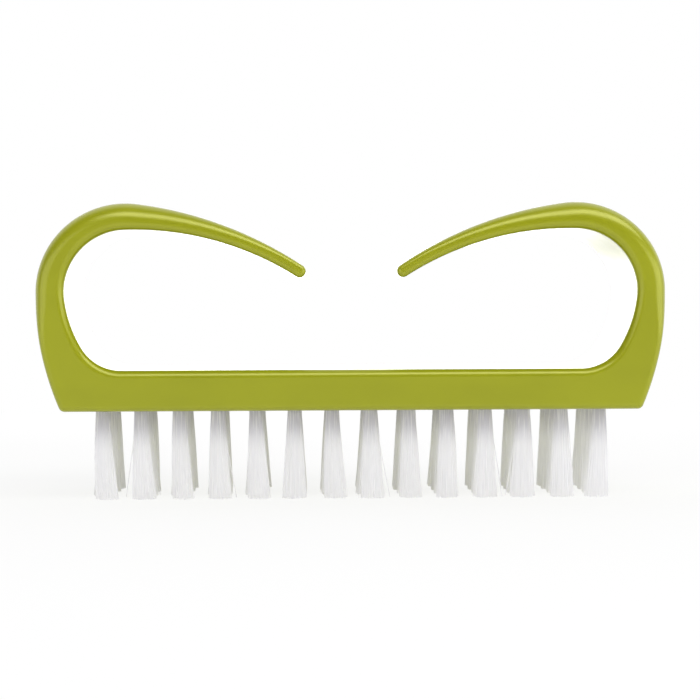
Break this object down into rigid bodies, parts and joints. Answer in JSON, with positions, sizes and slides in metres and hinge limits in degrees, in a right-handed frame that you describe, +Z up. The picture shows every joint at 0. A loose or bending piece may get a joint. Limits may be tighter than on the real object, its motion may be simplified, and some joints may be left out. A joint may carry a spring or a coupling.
{
  "type": "nail brush",
  "caption": "Hand nail brush: a moulded bar with two curled, open horns that make finger loops, and tufts of white nylon bristle in the underside of the bar.",
  "frame": {"origin": "midway along and across the brush, in the plane of the bristle tips", "axes": "+X along the bar, +Y from the front face to the rear face, +Z up from the bristle tips to the horns"},
  "size_m": [0.1, 0.027, 0.0472],
  "materials": {
    "handle_plastic": "glossy moulded plastic, lime olive",
    "bristle_nylon": "white nylon filament",
    "anchor_wire": "flat drawn wire"
  },
  "bodies": {
    "root": {"brush_body": "handle_plastic", "tuft_r1_c01": "bristle_nylon", "tuft_r1_c02": "bristle_nylon", "tuft_r1_c03": "bristle_nylon", "tuft_r1_c04": "bristle_nylon", "tuft_r1_c05": "bristle_nylon", "tuft_r1_c06": "bristle_nylon", "tuft_r1_c07": "bristle_nylon", "tuft_r1_c08": "bristle_nylon", "tuft_r1_c09": "bristle_nylon", "tuft_r1_c10": "bristle_nylon", "tuft_r1_c11": "bristle_nylon", "tuft_r1_c12": "bristle_nylon", "tuft_r1_c13": "bristle_nylon", "tuft_r1_c14": "bristle_nylon", "tuft_r2_c01": "bristle_nylon", "tuft_r2_c02": "bristle_nylon", "tuft_r2_c03": "bristle_nylon", "tuft_r2_c04": "bristle_nylon", "tuft_r2_c05": "bristle_nylon", "tuft_r2_c06": "bristle_nylon", "tuft_r2_c07": "bristle_nylon", "tuft_r2_c08": "bristle_nylon", "tuft_r2_c09": "bristle_nylon", "tuft_r2_c10": "bristle_nylon", "tuft_r2_c11": "bristle_nylon", "tuft_r2_c12": "bristle_nylon", "tuft_r2_c13": "bristle_nylon", "tuft_r2_c14": "bristle_nylon", "tuft_r3_c01": "bristle_nylon", "tuft_r3_c02": "bristle_nylon", "tuft_r3_c03": "bristle_nylon", "tuft_r3_c04": "bristle_nylon", "tuft_r3_c05": "bristle_nylon", "tuft_r3_c06": "bristle_nylon", "tuft_r3_c07": "bristle_nylon", "tuft_r3_c08": "bristle_nylon", "tuft_r3_c09": "bristle_nylon", "tuft_r3_c10": "bristle_nylon", "tuft_r3_c11": "bristle_nylon", "tuft_r3_c12": "bristle_nylon", "tuft_r3_c13": "bristle_nylon", "tuft_r3_c14": "bristle_nylon", "tuft_r4_c01": "bristle_nylon", "tuft_r4_c02": "bristle_nylon", "tuft_r4_c03": "bristle_nylon", "tuft_r4_c04": "bristle_nylon", "tuft_r4_c05": "bristle_nylon", "tuft_r4_c06": "bristle_nylon", "tuft_r4_c07": "bristle_nylon", "tuft_r4_c08": "bristle_nylon", "tuft_r4_c09": "bristle_nylon", "tuft_r4_c10": "bristle_nylon", "tuft_r4_c11": "bristle_nylon", "tuft_r4_c12": "bristle_nylon", "tuft_r4_c13": "bristle_nylon", "tuft_r4_c14": "bristle_nylon", "tuft_anchors": "anchor_wire"}
  },
  "joints": []
}
